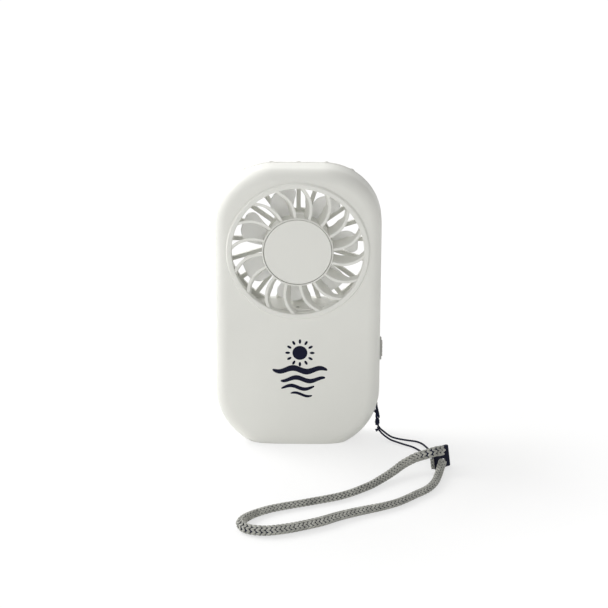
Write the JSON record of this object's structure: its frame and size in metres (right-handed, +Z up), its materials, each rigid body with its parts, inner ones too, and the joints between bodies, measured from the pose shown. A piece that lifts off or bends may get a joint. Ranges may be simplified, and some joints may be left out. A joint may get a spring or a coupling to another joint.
{
  "type": "pocket fan",
  "caption": "Slab-shaped rechargeable pocket fan on a flat base, with a swirl grille, a slide switch on its side and a knitted wrist strap.",
  "frame": {"origin": "on the surface that the fan stands on, under the middle of the case", "axes": "+Z up, the front with the grille faces -Y, +X to the right as seen from the front"},
  "size_m": [0.0913, 0.0993, 0.1128],
  "materials": {
    "case_shell": "off-white moulded plastic, fine matt texture",
    "fan_wheel": "off-white plastic, satin",
    "motor_steel": "drawn steel",
    "motor_dark": "dark, matt",
    "bush_bronze": "sintered bronze",
    "coil_copper": "enamelled copper winding",
    "screw_steel": "plated steel",
    "board_green": "green solder mask",
    "chip_black": "black moulded package",
    "switch_metal": "folded tinned steel",
    "knob_plastic": "pale grey plastic",
    "light_clear": "clear moulded plastic",
    "cell_wrap": "blue heat-shrink film",
    "lead_red": "red insulated wire",
    "lead_black": "black insulated wire",
    "navy_thread": "navy twisted cord",
    "strap_knit": "grey knitted tube",
    "clip_plastic": "navy moulded plastic"
  },
  "bodies": {
    "housing": {"front_shell": "case_shell", "rear_shell": "case_shell", "front_grille": "case_shell", "hub_cap": "case_shell", "motor_can": "motor_steel", "motor_magnet": "motor_dark", "motor_end_cap": "motor_dark", "motor_bush_front": "bush_bronze", "motor_bush_rear": "bush_bronze", "motor_screw_left": "screw_steel", "motor_screw_right": "screw_steel", "case_screw_lower_left": "screw_steel", "case_screw_lower_right": "screw_steel", "case_screw_upper_left": "screw_steel", "case_screw_upper_right": "screw_steel", "board_screw_left": "screw_steel", "board_screw_right": "screw_steel", "lanyard_bar": "screw_steel", "circuit_board": "board_green", "control_chip": "chip_black", "switch_body": "switch_metal", "charging_socket": "switch_metal", "charge_light_pipe": "light_clear", "battery_cell": "cell_wrap", "motor_lead_red": "lead_red", "battery_lead_red": "lead_red", "motor_lead_black": "lead_black", "battery_lead_black": "lead_black", "thread_bight_front": "navy_thread", "thread_bight_rear": "navy_thread", "barrel_knot": "navy_thread", "end_knot": "navy_thread", "thread_strand_upper": "navy_thread", "thread_strand_lower": "navy_thread", "wrist_strap": "strap_knit", "strap_tail": "strap_knit", "strap_clip": "clip_plastic"},
    "fan_wheel": {"impeller": "fan_wheel", "motor_shaft": "motor_steel", "motor_armature": "coil_copper"},
    "switch": {"switch_knob": "knob_plastic"}
  },
  "joints": [
    {"name": "impeller_spin", "type": "hinge", "parent": "housing", "child": "fan_wheel", "pos_m": [0, 0, 0.0804], "axis": [0, 1, 0], "continuous": true},
    {"name": "switch_slide", "type": "slide", "parent": "housing", "child": "switch", "axis": [0, 0, 1], "range_m": [0, 0.003]}
  ]
}
